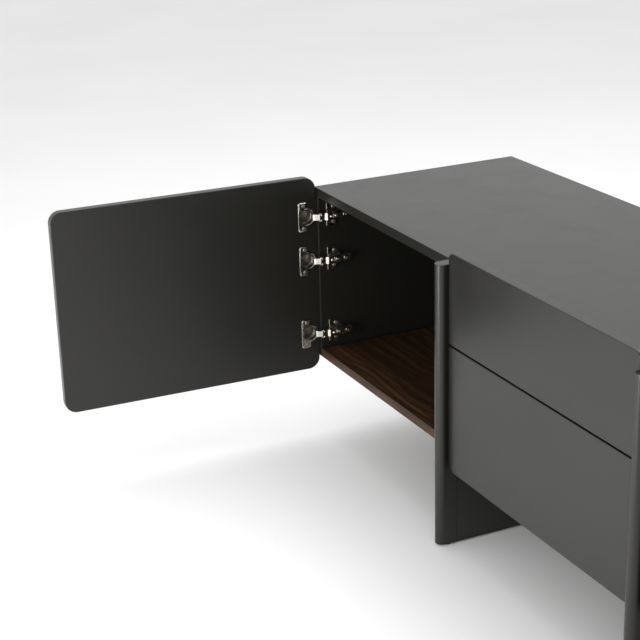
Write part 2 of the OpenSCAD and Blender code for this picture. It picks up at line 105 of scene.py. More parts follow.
class Net:
    """A material's node tree, with short ways to add to it."""

    def __init__(self, name):
        self.mat = bpy.data.materials.new(name)
        self.mat.use_nodes = True
        self.tree = self.mat.node_tree
        self.shader = self.tree.nodes["Principled BSDF"]
        self.place = self.tree.nodes.new("ShaderNodeTexCoord").outputs["Object"]

    def add(self, kind, props=(), **inputs):
        n = self.tree.nodes.new(kind)
        for key, value in dict(props).items():
            setattr(n, key, value)
        for key, value in inputs.items():
            self.put(n.inputs[key.replace("_", " ")], value)
        return n

    def put(self, socket, value):
        if isinstance(value, bpy.types.NodeSocket):
            self.tree.links.new(value, socket)
        else:
            socket.default_value = value

    def stretched(self, x, y, z):
        n = self.add("ShaderNodeMapping", Vector=self.place)
        n.inputs["Scale"].default_value = (x, y, z)
        return n.outputs["Vector"]

    def noise(self, scale, detail=2.0, rough=0.5, vector=None, warp=0.0):
        n = self.add("ShaderNodeTexNoise", Scale=scale, Detail=detail, Roughness=rough,
                     Distortion=warp, Vector=vector or self.place)
        return n.outputs["Fac"]

    def ramp(self, value, stops):
        n = self.add("ShaderNodeValToRGB", Fac=value)
        points = n.color_ramp.elements
        while len(points) < len(stops):
            points.new(0.5)
        for point, (at, colour) in zip(points, stops):
            point.position = at
            point.color = (*colour, 1)
        return n.outputs["Color"]

    def between(self, value, low, high, start=0.3, end=0.7):
        n = self.add("ShaderNodeMapRange", Value=value)
        limits = {"From Min": start, "From Max": end, "To Min": low, "To Max": high}
        for key, number in limits.items():
            n.inputs[key].default_value = number
        return n.outputs["Result"]

    def math(self, how, a, b):
        n = self.tree.nodes.new("ShaderNodeMath")
        n.operation = how
        self.put(n.inputs[0], a)
        self.put(n.inputs[1], b)
        return n.outputs["Value"]

    def mixed(self, amount, a, b, how="MIX"):
        n = self.tree.nodes.new("ShaderNodeMix")
        n.data_type = "RGBA"
        n.blend_type = how
        self.put(n.inputs[0], amount)
        self.put(n.inputs[6], a)
        self.put(n.inputs[7], b)
        return n.outputs[2]

    def bump(self, height, strength, distance, over=None):
        n = self.add("ShaderNodeBump", Height=height, Strength=strength, Distance=distance)
        if over:
            self.put(n.inputs["Normal"], over)
        return n.outputs["Normal"]

    def surface(self, **inputs):
        for key, value in inputs.items():
            self.put(self.shader.inputs[key.replace("_", " ")], value)
        return self.mat


def lacquer():
    """Sprayed satin anthracite: faint clouds, fine orange peel, a few rubbed places, and painted shade in the
    narrow gaps.
    """
    n = Net("anthracite lacquer")
    clouds = n.noise(3.0, 4.0, 0.55)
    rubbed = n.noise(11.0, 6.0, 0.6, warp=0.4)
    grit = n.noise(2600.0, 1.0)
    colour = n.ramp(clouds, [(0.3, (0.0090, 0.0086, 0.0070)), (0.7, (0.0112, 0.0108, 0.0090))])
    colour = n.mixed(n.between(grit, 0.0, 0.35, 0.55, 0.8), colour, (0.018, 0.0175, 0.015, 1))
    peel = n.bump(n.noise(520.0, 2.0, 0.45), 0.10, 0.0004)
    fine = n.bump(grit, 0.05, 0.0001, peel)
    rough = n.math("ADD", n.between(clouds, 0.27, 0.31), n.between(rubbed, 0.0, 0.05, 0.45, 0.75))
    # Painted shade: ambient occlusion takes the sheen away inside the narrow gaps
    gap_shade = n.add("ShaderNodeAmbientOcclusion", {"samples": 8}, Distance=0.012).outputs["AO"]
    return n.surface(Base_Color=colour, Roughness=rough, Normal=fine,
                     Specular_IOR_Level=n.between(gap_shade, 0.02, 0.5, 0.45, 0.95))


def walnut():
    """Oiled walnut veneer, its grain along x: rolling figure, dark lines and open pores."""
    n = Net("walnut veneer")
    drift = n.noise(1.0, 2.0, 0.5, n.stretched(2.2, 5.0, 5.0))
    across = n.add("ShaderNodeSeparateXYZ", Vector=n.place)
    shifted = n.math("ADD", across.outputs["Y"], n.math("MULTIPLY", drift, 0.16))
    rings = n.math("SINE", n.math("MULTIPLY", shifted, 150.0), 0.0)
    lines = n.math("POWER", n.math("ABSOLUTE", rings, 0.0), 9.0)
    wide = n.noise(1.0, 4.0, 0.6, n.stretched(1.3, 24.0, 24.0), 0.8)
    streak = n.noise(1.0, 6.0, 0.65, n.stretched(2.6, 80.0, 80.0), 0.4)
    fibre = n.noise(1.0, 3.0, 0.6, n.stretched(14.0, 900.0, 900.0))
    pores = n.noise(1.0, 1.0, 0.5, n.stretched(55.0, 1500.0, 1500.0))
    base = n.ramp(wide, [(0.34, (0.026, 0.0112, 0.0045)), (0.46, (0.066, 0.030, 0.0115)),
                         (0.54, (0.036, 0.0155, 0.0064)), (0.66, (0.094, 0.046, 0.0185))])
    base = n.mixed(n.between(streak, 0.0, 0.9, 0.42, 0.60), base, (0.011, 0.0050, 0.0024, 1))
    base = n.mixed(n.math("MULTIPLY", lines, 0.85), base, (0.0070, 0.0036, 0.0022, 1))
    base = n.mixed(n.between(fibre, 0.0, 0.25), base, (0.100, 0.050, 0.021, 1))
    hole = n.between(pores, 0.0, 1.0, 0.60, 0.68)
    colour = n.mixed(n.math("MULTIPLY", hole, 0.7), base, (0.006, 0.0034, 0.0024, 1))
    grain = n.bump(fibre, 0.14, 0.0003)
    normal = n.bump(n.math("SUBTRACT", 1.0, hole), 0.30, 0.0002, grain)
    return n.surface(Base_Color=colour, Roughness=n.between(streak, 0.44, 0.56), Normal=normal,
                     Specular_IOR_Level=0.22)


def beech():
    """Raw beech dowel: pale, with short darker flecks."""
    n = Net("raw beech")
    fleck = n.noise(1.0, 3.0, 0.6, n.stretched(300.0, 60.0, 300.0))
    colour = n.ramp(fleck, [(0.35, (0.52, 0.36, 0.22)), (0.6, (0.42, 0.27, 0.15))])
    return n.surface(Base_Color=colour, Roughness=n.between(fleck, 0.6, 0.75),
                     Normal=n.bump(fleck, 0.3, 0.0002))


def plated(name, low, high, rough, streaks):
    """Plated steel: slight tint changes, faint drawn streaks and fingered patches."""
    n = Net(name)
    patch = n.noise(160.0, 4.0, 0.6)
    drawn = n.noise(1.0, 3.0, 0.6, n.stretched(*streaks))
    colour = n.ramp(patch, [(0.3, low), (0.7, high)])
    shine = n.math("ADD", n.between(patch, rough, rough + 0.10), n.between(drawn, 0.0, 0.06))
    return n.surface(Base_Color=colour, Metallic=1.0, Roughness=shine,
                     Normal=n.bump(drawn, 0.06, 0.0001))


def moulded(name, low, high, rough):
    """Moulded plastic or rubber with a fine grain."""
    n = Net(name)
    cloud = n.noise(240.0, 3.0)
    grain = n.noise(3500.0, 2.0)
    colour = n.ramp(cloud, [(0.3, low), (0.7, high)])
    return n.surface(Base_Color=colour, Roughness=n.between(cloud, rough, rough + 0.1),
                     Normal=n.bump(grain, 0.12, 0.0001))


# How finely the drawn streaks run along x, y and z
UPWARD_STREAKS = (90, 90, 900)
RAIL_STREAKS = (900, 12, 900)
EVEN_STREAKS = (700, 700, 700)

FINISH = {
    "grey_lacquer": lacquer(),
    "walnut": walnut(),
    "beech": beech(),
    "hinge_nickel": plated("bright nickel", (0.68, 0.65, 0.57), (0.77, 0.74, 0.66), 0.14,
                           UPWARD_STREAKS),
    "rail_steel": plated("zinc plated rail", (0.55, 0.56, 0.57), (0.66, 0.67, 0.68), 0.28,
                         RAIL_STREAKS),
    "zinc_screw": plated("zinc screw", (0.34, 0.33, 0.30), (0.45, 0.44, 0.40), 0.26,
                         EVEN_STREAKS),
    "glide": moulded("floor glide", (0.020, 0.020, 0.021), (0.034, 0.034, 0.036), 0.45),
}

# Painted shade: the cups' bowls sit down in the door's bores and get a darker nickel than the rest of the hinges,
# and share their slot
SHADED_CUP_LOOK = plated("nickel with painted shade", (0.15, 0.14, 0.12), (0.21, 0.20, 0.17), 0.32, UPWARD_STREAKS)

# ---------------------------------------------------------------- outlines


def arc(cx, cy, r, start, end, steps):
    """Points on a circle, from one angle to another, in degrees."""
    turns = [math.radians(start + (end - start) * k / steps) for k in range(steps + 1)]
    return [(cx + r * math.cos(t), cy + r * math.sin(t)) for t in turns]


def circle(cx, cy, r, steps=32):
    return arc(cx, cy, r, 0, 360 * (steps - 1) / steps, steps - 1)


# A corner of this radius or more is drawn in WIDE_STEPS times as many steps
WIDE_RADIUS = 8
WIDE_STEPS = 5


def rounded(x0, y0, x1, y1, r, steps=4):
    """A rectangle whose corners have the radii r: low left, low right, high right, high left."""
    radii = [r] * 4 if isinstance(r, (int, float)) else r
    corners = [
        (x0, y0, 1, 1, 180),
        (x1, y0, -1, 1, 270),
        (x1, y1, -1, -1, 0),
        (x0, y1, 1, -1, 90),
    ]
    points = []
    for (x, y, sx, sy, start), c in zip(corners, radii):
        if c:
            parts = steps if c < WIDE_RADIUS else WIDE_STEPS * steps
            points += arc(x + sx * c, y + sy * c, c, start, start + 90, parts)
        else:
            points.append((x, y))
    return points


def inset(points, d):
    """The outline moved inwards by d, with a limit on how far a sharp corner's point goes."""
    sharpest = 0.2
    out = []
    for k, p in enumerate(points):
        a, b = Vector(points[k - 1]), Vector(points[(k + 1) % len(points)])
        e1, e2 = (Vector(p) - a).normalized(), (b - Vector(p)).normalized()
        n1, n2 = Vector((-e1.y, e1.x)), Vector((-e2.y, e2.x))
        q = Vector(p) + (n1 + n2) * (d / max(sharpest, 1 + n1.dot(n2)))
        out.append((q.x, q.y))
    return out


def ribbon(points, t):
    """A strip of sheet of thickness t, along points, as an outline."""
    sides = [[], []]
    for k, p in enumerate(points):
        a, b = Vector(points[max(k - 1, 0)]), Vector(points[min(k + 1, len(points) - 1)])
        run = (b - a).normalized()
        across = Vector((-run.y, run.x)) * t / 2
        sides[0].append(tuple(Vector(p) + across))
        sides[1].append(tuple(Vector(p) - across))
    return sides[0] + sides[1][::-1]


def bend(a, b, c, steps=6, share=0.5):
    """Straight from a towards b and on to c, rounded at b."""
    a, b, c = Vector(a), Vector(b), Vector(c)
    start, end = b.lerp(a, share), b.lerp(c, share)
    middle = []
    for k in range(steps + 1):
        s = k / steps
        middle.append(tuple(start.lerp(b, s).lerp(b.lerp(end, s), s)))
    return [tuple(a)] + middle + [tuple(c)]


# ---------------------------------------------------------------- solids

# A smaller step in than this is none
TINY = 1e-6

# A screw's driver recess in shares of its head, and its thread's root in shares of its shank
RECESS_REACH, RECESS_ARM, RECESS_DEPTH = 0.74, 0.30, 0.92
THREAD_PITCH, THREAD_ROOT = 2.0, 0.78

# Edges that turn by more than this stay sharp in the shading
SHARP_ANGLE = 38


def prism(bm, outline, low, high, along="z", edge=0.0, holes=(), steps=3, at=Matrix()):
    """Thickens an outline, with its two rims rounded by edge. A hole is (outline, depth
    from the high side), and a depth of None goes right through."""
    m = at @ ALONG[along]
    area = sum(a[0] * b[1] - b[0] * a[1] for a, b in zip(outline, outline[1:] + outline[:1]))
    outline = outline if area > 0 else outline[::-1]
    faces = []

    def loop(points, w):
        return [bm.verts.new(m @ Vector((p[0], p[1], w))) for p in points]

    def edges(verts):
        pairs = zip(verts, verts[1:] + verts[:1])
        return [bm.edges.get(p) or bm.edges.new(p) for p in pairs]

    def wall(a, b):
        for k in range(len(a)):
            faces.append(bm.faces.new((a[k - 1], a[k], b[k], b[k - 1])))

    def cap(outer, inner):
        if inner:
            borders = [e for verts in [outer] + inner for e in edges(verts)]
            made = bmesh.ops.triangle_fill(bm, use_beauty=True, edges=borders)["geom"]
            faces.extend(g for g in made if isinstance(g, bmesh.types.BMFace))
        else:
            faces.append(bm.faces.new(outer))

    # Each level is how far its ring is moved in, and its height
    if edge:
        angles = [math.radians(90 * k / steps) for k in range(steps + 1)]
        levels = [(edge * (1 - math.sin(a)), low + edge * (1 - math.cos(a))) for a in angles]
        levels += [(edge * (1 - math.cos(a)), high - edge * (1 - math.sin(a))) for a in angles]
    else:
        levels = [(0, low), (0, high)]
    rings = [loop(inset(outline, d) if d > TINY else outline, w) for d, w in levels]
    for a, b in zip(rings, rings[1:]):
        wall(a, b)
    tops, bottoms = [], []
    for points, depth in holes:
        top = loop(points, high)
        bottom = loop(points, low if depth is None else high - depth)
        wall(top, bottom)
        tops.append(top)
        if depth is None:
            bottoms.append(bottom)
        else:
            faces.append(bm.faces.new(bottom))
    cap(rings[-1], tops)
    cap(rings[0], bottoms)
    bmesh.ops.recalc_face_normals(bm, faces=faces)


def lathe(bm, profile, along="z", steps=32, at=Matrix()):
    """Turns a profile of (radius, height) points; a radius of 0 closes it on its axis."""
    m = at @ ALONG[along]
    rings, faces = [], []
    for r, h in profile:
        if r == 0:
            rings.append([bm.verts.new(m @ Vector((0, 0, h)))])
        else:
            rings.append([bm.verts.new(m @ Vector((x, y, h))) for x, y in circle(0, 0, r, steps)])
    for a, b in zip(rings, rings[1:]):
        for k in range(steps):
            low = [a[k - 1], a[k]] if len(a) > 1 else a
            high = [b[k], b[k - 1]] if len(b) > 1 else b
            faces.append(bm.faces.new(low + high))
    bmesh.ops.recalc_face_normals(bm, faces=faces)


def wire(bm, points, r, steps=10, at=Matrix()):
    """A round bar along points, with closed ends."""
    points = [Vector(p) for p in points]
    rings, faces = [], []
    for k, p in enumerate(points):
        run = points[min(k + 1, len(points) - 1)] - points[max(k - 1, 0)]
        turn = run.to_track_quat("Z", "Y").to_matrix().to_4x4()
        m = at @ Matrix.Translation(p) @ turn
        rings.append([bm.verts.new(m @ Vector((x, y, 0))) for x, y in circle(0, 0, r, steps)])
    for a, b in zip(rings, rings[1:]):
        for k in range(steps):
            faces.append(bm.faces.new((a[k - 1], a[k], b[k], b[k - 1])))
    faces += [bm.faces.new(rings[0]), bm.faces.new(rings[-1])]
    bmesh.ops.recalc_face_normals(bm, faces=faces)


def cross(r, arm):
    """A four-armed driver recess, r from its middle to an arm's end."""
    points = []
    for quarter in range(4):
        a = math.radians(90 * quarter)
        for x, y in ((r, -arm / 2), (r, arm / 2), (arm * 0.75, arm * 0.75)):
            points.append((x * math.cos(a) - y * math.sin(a), x * math.sin(a) + y * math.cos(a)))
    return points


def screw(bm, at, head_r, head_t, shank_r, shank_l, spin):
    """A screw that stands on its seat and points along z, its driver recess on top."""
    recess = (cross(head_r * RECESS_REACH, head_r * RECESS_ARM), head_t * RECESS_DEPTH)
    edge = min(0.45, head_t * 0.4)
    prism(bm, circle(0, 0, head_r, 36), 0, head_t, edge=edge, holes=[recess],
          at=at @ turned(spin, "Z"))
    turns = max(2, int(shank_l / THREAD_PITCH))
    root, crest = shank_r * THREAD_ROOT, THREAD_PITCH * 0.175
    profile = [(0, -shank_l), (shank_r * 0.4, -shank_l + 1)]
    for k in range(turns):
        z = -shank_l + 1 + (shank_l - 1.2) * (k + 0.5) / turns
        profile += [(root, z - crest), (shank_r, z), (root, z + crest)]
    profile += [(shank_r * 0.9, -0.1), (0, -0.05)]
    lathe(bm, profile, steps=16, at=at)


def piece(name, bm, finish, body, *nodes, look=None):
    """Makes an object of the mesh, which rides on a body and stands for CAD nodes. Its look
    is that of its finish, unless another one is given."""
    mesh = bpy.data.meshes.new(name)
    bm.to_mesh(mesh)
    bm.free()
    mesh.polygons.foreach_set("use_smooth", [True] * len(mesh.polygons))
    mesh.set_sharp_from_angle(angle=math.radians(SHARP_ANGLE))
    mesh.materials.append(look or FINISH[finish])
    obj = bpy.data.objects.new(name, mesh)
    bpy.context.scene.collection.objects.link(obj)
    even = obj.modifiers.new("even shading", "WEIGHTED_NORMAL")
    even.keep_sharp = True
    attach(obj, body)
    if nodes:
        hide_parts(*nodes)
    return obj


def body_with(node):
    bodies = frame["record"]["behaviour"]["bodies"]
    return next(body for body, names in bodies.items() if node in names)


def board(node, finish, edge):
    """A flat board in place of a CAD node, its edges eased."""
    lo, hi = in_mm(node)
    bm = bmesh.new()
    prism(bm, rounded(lo.x, lo.y, hi.x, hi.y, edge), lo.z, hi.z, edge=edge, at=LEFT)
    piece(node + "_board", bm, finish, body_with(node), node)


# ---------------------------------------------------------------- carcass

board("top_panel", "grey_lacquer", 0.8)
for side in ("left", "right"):
    board(side + "_end_panel", "grey_lacquer", 0.6)
for bay in ("left", "middle", "right"):
    board(bay + "_bottom", "walnut", 0.5)
    board(bay + "_back", "grey_lacquer", 0.4)


def upright(side):
    """A slab with a half-round nose, full height in front and under the top behind."""
    lo, hi = in_mm(side + "_upright")
    r = (hi.x - lo.x) / 2
    mid = (lo.x + hi.x) / 2
    under = in_mm("top_panel")[0].z
    overlap = 1.0
    bm = bmesh.new()
    nose = arc(mid, lo.y + r, r, 180, 360, 32) + [(hi.x, 0), (lo.x, 0)]
    prism(bm, nose, lo.z, hi.z, edge=0.7, at=LEFT)
    prism(bm, rounded(lo.x, -overlap, hi.x, hi.y, 0.4), lo.z, under, edge=0.35, at=LEFT)
    piece(side + "_upright_slab", bm, "grey_lacquer", "carcass", side + "_upright")


for side in ("left", "right"):
    upright(side)


def floor_glides():
    """Three plastic feet under each upright, each with its nail."""
    radius, nail_r, nail_l, middle_y = 10, 1.2, 14, 210
    low, high = in_mm("floor_glides")
    bm = bmesh.new()
    for side in ("left", "right"):
        lo, hi = in_mm(side + "_upright")
        mid = (lo.x + hi.x) / 2
        t = lo.z
        foot = [(0, 0), (7.5, 0), (9.2, 0.5), (radius, 1.6), (radius, t)]
        nail = [(nail_r, t), (nail_r, t + nail_l), (0, t + nail_l)]
        for y in (low.y + radius, middle_y, high.y - radius):
            lathe(bm, foot + nail, at=LEFT @ move(mid, y))
    piece("moulded_floor_glides", bm, "glide", "carcass", "floor_glides")


floor_glides()


def back_screws():
    """Round each back: three up each side and three into its bottom board."""
    side_inset, end_inset = 6, 30
    low, high = in_mm("left_back")
    board_low, board_high = in_mm("left_bottom")
    board_z, board_t = (board_low.z + board_high.z) / 2, 19
    rows = (low.z + end_inset, (low.z + high.z + board_t) / 2, high.z - end_inset)
    bm = bmesh.new()
    for k, bay in enumerate(("left", "middle", "right")):
        a, b = in_mm(bay + "_back")
        spots = [(x, z) for x in (a.x + side_inset, b.x - side_inset) for z in rows]
        spots += [(a.x + (b.x - a.x) * quarter / 4, board_z) for quarter in (1, 2, 3)]
        for n, (x, z) in enumerate(spots):
            seat = LEFT @ move(x, high.y, z) @ TO_BACK
            screw(bm, seat, 3.0, 1.3, 1.5, 25, spin=17 * n + 40 * k)
    piece("back_panel_screws", bm, "zinc_screw", "carcass", "back_screws")


back_screws()

# ---------------------------------------------------------------- hinges
# Drawn on the left end at height zero: what is on the carcass or on the door as with the
# door closed, and the link as the open left door leaves it. hinge_set puts them in place.

# From the top of the carcass down to each hinge
HINGE_DROPS = (58, 152, 312)

# On the carcass: the end panel's inner face, the plate and the holes in the arm over it
SEAT = in_mm("left_end_panel")[1].x
PLATE_Y = 33.0
PLATE_T = 2.2
PLATE_SCREW_Z = 16
ADJUSTER_Y = 21.5
CAM_Y = 53.0

# The link: its pin, its bend and its tip in the cup, and how far it turns for a door's degree
PIN = (31.5, -1.0)
KNEE = (26.5, -15.5)
TIP = (12.5, -13.5)
LINK_RATIO = 0.16

# On the door: its inner face, the flange on it, the cup's middle and bore, and the two screws
FACE_Y = -2.5
FLANGE_T = 1.2
CUP_X = 22.5
BORE_R, BORE_DEPTH = 17.5, 14.45
SCREW_X = 28.5
CUP_SCREW_Z = 24


def heights():
    return [move(0, 0, TOP_Z - drop) for drop in HINGE_DROPS]


def mounting_plates(bm, at):
    """Two wings on the end panel, their front edge turned up, and a saddle between them."""
    y0, y1, half = PLATE_Y - 16, PLATE_Y + 8, 25
    slot_z, rib_z, lip_z0, lip_z1 = 13.5, 9.2, 12, 23
    lower = [(y0, -half + 2), (y0 + 2, -half), (y1 - 5, -half), (y1 - 1, -half + 4),
             (y1 - 1, -17), (y1 + 6, -9)]
    wings = lower + [(y, -z) for y, z in lower[::-1]]
    slots = []
    for s in (-1, 1):
        slot = rounded(y0 + 5, slot_z * s - 2.2, y0 + 10, slot_z * s + 2.2, 2.1, 5)
        slots.append((slot, None))
    prism(bm, wings, SEAT, SEAT + PLATE_T, "x", 0.5, holes=slots, at=at)
    for s in (-1, 1):
        z0, z1 = sorted((lip_z0 * s, lip_z1 * s))
        prism(bm, rounded(y0, z0, y0 + 1.7, z1, 0.8, 4), SEAT + 0.4, SEAT + 3.8, "x", 0.5, at=at)
        rib = rounded(y0 + 0.4, rib_z * s - 0.9, y1 + 2, rib_z * s + 0.9, 0.8, 4)
        prism(bm, rib, SEAT + 0.4, SEAT + 7.5, "x", 0.5, at=at)
    saddle = rounded(10, -6, 60, 6, [2, 4, 4, 2], 4)
    prism(bm, saddle, SEAT, SEAT + 4.0, "x", 0.5, at=at)


def plate_screws(bm, at):
    for k, s in enumerate((-1, 1)):
        seat = at @ move(SEAT + PLATE_T, PLATE_Y, PLATE_SCREW_Z * s) @ TO_RIGHT
        screw(bm, seat, 3.6, 1.6, 2.0, 13, spin=25 + 50 * k)


def hinge_arm(bm, at):
    """The whole arm: its channel, the pin through its nose, and what sits in its web."""
    x1, half, back = SEAT + 16, 8.2, 64.0
    arm_channel(bm, at, SEAT + 4.6, x1, half, back)
    end = [(0, -half - 0.7), (1.5, -half - 0.7), (2.4, -half - 0.3), (2.4, -half + 0.1),
           (1.5, -half + 0.2)]
    lathe(bm, end + [(r, -z) for r, z in end[::-1]], steps=20, at=at @ move(*PIN))
    for s in (-1, 1):
        rivet = [(0, 0), (1.5, 0), (1.2, 0.4), (0.6, 0.7), (0, 0.8)]
        lathe(bm, rivet, steps=16, at=at @ move(x1 + 0.35, PIN[1] + 1, 5.6 * s) @ TO_RIGHT)
    screw(bm, at @ move(x1 + 0.5, PLATE_Y, 0) @ TO_RIGHT, 3.4, 1.4, 2.0, 15.5, spin=35)
    adjuster = [(0, -6), (2.4, -6), (2.4, -0.2), (2.9, 0), (3.0, 0.9), (2.6, 1.9), (1.7, 2.6),
                (0.9, 2.8), (0.9, 2.0), (0, 2.0)]
    lathe(bm, adjuster, steps=24, at=at @ move(x1, ADJUSTER_Y, 0) @ TO_RIGHT)
    cam = [(0, -5), (3.2, -5), (3.2, 0.1), (3.9, 0.3), (3.9, 1.0), (3.3, 1.3), (2.0, 1.3),
           (1.9, 0.5), (0, 0.5)]
    lathe(bm, cam, steps=28, at=at @ move(x1, CAM_Y, 0) @ TO_RIGHT)
    curl = bend((x1 - 2.5, back - 4), (x1 + 0.6, back + 1.5), (x1 - 6.5, back + 2.5), 6)
    prism(bm, ribbon(curl, 0.9), -5.2, 5.2, "z", 0.2, at=at)


def arm_channel(bm, at, x0, x1, half, back):
    """A pressed channel with stepped flanks, its nose forked round the link's pin."""
    wall, short = 1.4, half - 0.1
    flank = (
        [(x0, back - 1), (x0, 24), (x0 + 1.2, 22.5), (x0 + 3.2, 19.0), (x0 + 4.6, 9.0)]
        + arc(PIN[0], PIN[1], 3.3, 195, 345, 12)
        + [(x1 + 0.9, 2.5), (x1 - 0.2, 9), (x1 - 0.2, back - 2), (x1 - 1.2, back - 0.4)]
        + [(x0 + 1, back)]
    )
    for z in (-half, half - wall):
        prism(bm, flank, z, z + wall, "z", 0.35, at=at)
    cap = rounded(-4.4, -short, 5.5, short, [2.4, 1.0, 1.0, 2.4], 5)
    prism(bm, cap, x1 - 0.6, x1 + 0.4, "x", 0.3, at=at)
    web = rounded(13.0, -short, back, short, [1.2, 3, 3, 1.2], 5)
    slot = rounded(PLATE_Y - 3, -2.6, PLATE_Y + 3, 2.6, 2.5, 5)
    adjuster, cam = circle(ADJUSTER_Y, 0, 3.0, 24), circle(CAM_Y, 0, 3.4, 24)
    holes = [(adjuster, None), (cam, None), (slot, None)]
    prism(bm, web, x1 - wall, x1, "x", 0.4, holes=holes, at=at)
    step = ribbon(bend((x1 - 5.5, 5.0), (x1 + 1.6, 13.0), (x1 + 0.6, 19.0), 6, 0.25), 1.2)
    prism(bm, step, -7.4, 7.4, "z", 0.3, at=at)
    rise = rounded(26.5, -5.4, 43.0, 5.4, 3.2, 5)
    hole = (circle(PLATE_Y, 0, 2.6, 24), None)
    prism(bm, rise, x1 - 0.3, x1 + 0.6, "x", 0.5, holes=[hole], at=at)


def hinge_link(bm, at, half):
    """A gooseneck of thick sheet, curled round the pin and with an eye at its tip."""
    path = bend(PIN, KNEE, TIP, 8, 0.22)
    prism(bm, ribbon(path, 2.2), -half, half, "z", 0.45, at=at)
    for centre, r in ((PIN, 2.6), (TIP, 1.8)):
        end = [(0, -half), (r - 0.4, -half), (r, -half + 0.4)]
        lathe(bm, end + [(x, -z) for x, z in end[::-1]], steps=24, at=at @ move(*centre))


def hinge_cup(bm, at):
    """The pressed flange over the cup, with its mouth, two ears, a collar and a rolled rim."""
    x0, x1, top, r = SCREW_X - 8, SCREW_X + 12, 31.0, 4
    ring = 19.0
    reach = x0 + 0.5 - CUP_X
    start = math.degrees(math.acos(reach / ring))
    outline = (
        [(x0 + r, -top)]
        + arc(x1 - r, r - top, r, 270, 360, 6)
        + arc(x1 - r, top - r, r, 0, 90, 6)
        + arc(x0 + r, top - r, r, 90, 170, 5)
        + arc(CUP_X, 0, ring, start, 360 - start, 30)
        + arc(x0 + r, r - top, r, 190, 262, 5)
    )
    mouth = rounded(CUP_X - 16.4, -13, CUP_X + 14.2, 13, [10, 8, 8, 10], 4)
    holes = [(mouth, None)]
    holes += [(circle(SCREW_X, CUP_SCREW_Z * s, 2.0, 20), None) for s in (-1, 1)]
    prism(bm, outline, FACE_Y, FACE_Y + FLANGE_T, "y", 0.4, holes=holes, at=at)
    collar = arc(CUP_X, 0, 17.3, 78, 282, 40)
    wire(bm, [(x, FACE_Y + FLANGE_T, z) for x, z in collar], 0.5, at=at)
    rim = [(x0 + r, top - 1.4)] + arc(x1 - r, top - r, 2.7, 90, 0, 6)
    rim += [(x, -z) for x, z in rim[::-1]]
    wire(bm, [(x, FACE_Y + 1.4, z) for x, z in rim], 1.2, at=at)


def cup_fittings(bm, at):
    """The deep-drawn bowl, the spring's housing at its far side, and two rollers."""
    depth, r = 14.4, 17.4
    outside = [(0, -depth), (r - 2.5, -depth), (r - 0.8, -depth + 0.7), (r, -depth + 2.5), (r, 0)]
    inside = [(r - 0.7, 0), (r - 0.7, -depth + 2.8), (r - 2.8, -depth + 0.8), (0, -depth + 0.8)]
    lathe(bm, outside + inside, "z", 48, at @ move(CUP_X, FACE_Y) @ TO_BACK)
    house = rounded(CUP_X + 9.6, -9.5, CUP_X + 14.8, 9.5, 2.0, 4)
    prism(bm, house, FACE_Y - 13.0, FACE_Y - 3.0, "y", 0.8, at=at)
    for s in (-1, 1):
        roller = [(0, -1.6), (1.5, -1.6), (1.9, -1.2), (1.9, 1.2), (1.5, 1.6), (0, 1.6)]
        lathe(bm, roller, steps=20, at=at @ move(CUP_X - 6, FACE_Y - 11.0, 9.5 * s))


def cup_screws(bm, at):
    for k, s in enumerate((-1, 1)):
        seat = at @ move(SCREW_X, FACE_Y + FLANGE_T, CUP_SCREW_Z * s) @ TO_BACK
        screw(bm, seat, 3.7, 1.5, 1.75, 13, spin=12 + 55 * k)


def hinge_set(side, carcass, door, link):
    """All the hinges of one door, one object for each kind of piece."""
    low, high = in_mm(side + "_hinge_links")
    half = (high.z - low.z - (HINGE_DROPS[-1] - HINGE_DROPS[0])) / 2

    def one_link(bm, at):
        hinge_link(bm, at, half)

    kinds = [
        ("mounting_plates", "hinge_nickel", "carcass", carcass, mounting_plates),
        ("plate_screws", "zinc_screw", "carcass", carcass, plate_screws),
        ("hinge_arms", "hinge_nickel", "carcass", carcass, hinge_arm),
        ("hinge_links", "hinge_nickel", side + "_links", link, one_link),
        ("hinge_cups", "hinge_nickel", side + "_door", door, hinge_cup),
        ("cup_screws", "zinc_screw", side + "_door", door, cup_screws),
    ]
    for kind, finish, body, place, make in kinds:
        bm = bmesh.new()
        for height in heights():
            make(bm, place @ height)
        piece(f"{side}_pressed_{kind}", bm, finish, body, f"{side}_{kind}")
    bm = bmesh.new()
    for height in heights():
        cup_fittings(bm, door @ height)
    # The bowls take the darker nickel, which is painted shade
    piece(side + "_cup_bowls", bm, "hinge_nickel", side + "_door", look=SHADED_CUP_LOOK)


hinge_set("left", LEFT, LEFT_DOOR, LEFT)
hinge_set("right", RIGHT, RIGHT, RIGHT @ turn_about(*PIN, -LINK_RATIO * DOOR_ANGLE))

# ---------------------------------------------------------------- doors

DOOR_CORNER_R = 24.0
DRAWER_CORNER_R = 15.0
FRONT_EDGE = 1.4


def door(side, place):
    """Both doors take the right one's size, because it stands closed at rest."""
    lo, hi = in_mm("right_door_panel")
    total = (TOP_HI.x - TOP_LO.x) / MM
    front = rounded(total - hi.x, lo.z, total - lo.x, hi.z, DOOR_CORNER_R, 6)
    bores = [(circle(CUP_X, TOP_Z - drop, BORE_R, 48), BORE_DEPTH) for drop in HINGE_DROPS]
    bm = bmesh.new()
    prism(bm, front, lo.y, hi.y, "y", FRONT_EDGE, bores, 4, place)
    piece(side + "_door_slab", bm, "grey_lacquer", side + "_door", side + "_door_panel")


door("left", LEFT_DOOR)
door("right", RIGHT)

# ---------------------------------------------------------------- drawers


# A rolled rail's sheet, and from a drawer rail's lips to its web
RAIL_T = 1.2
RAIL_DEPTH = 6.5


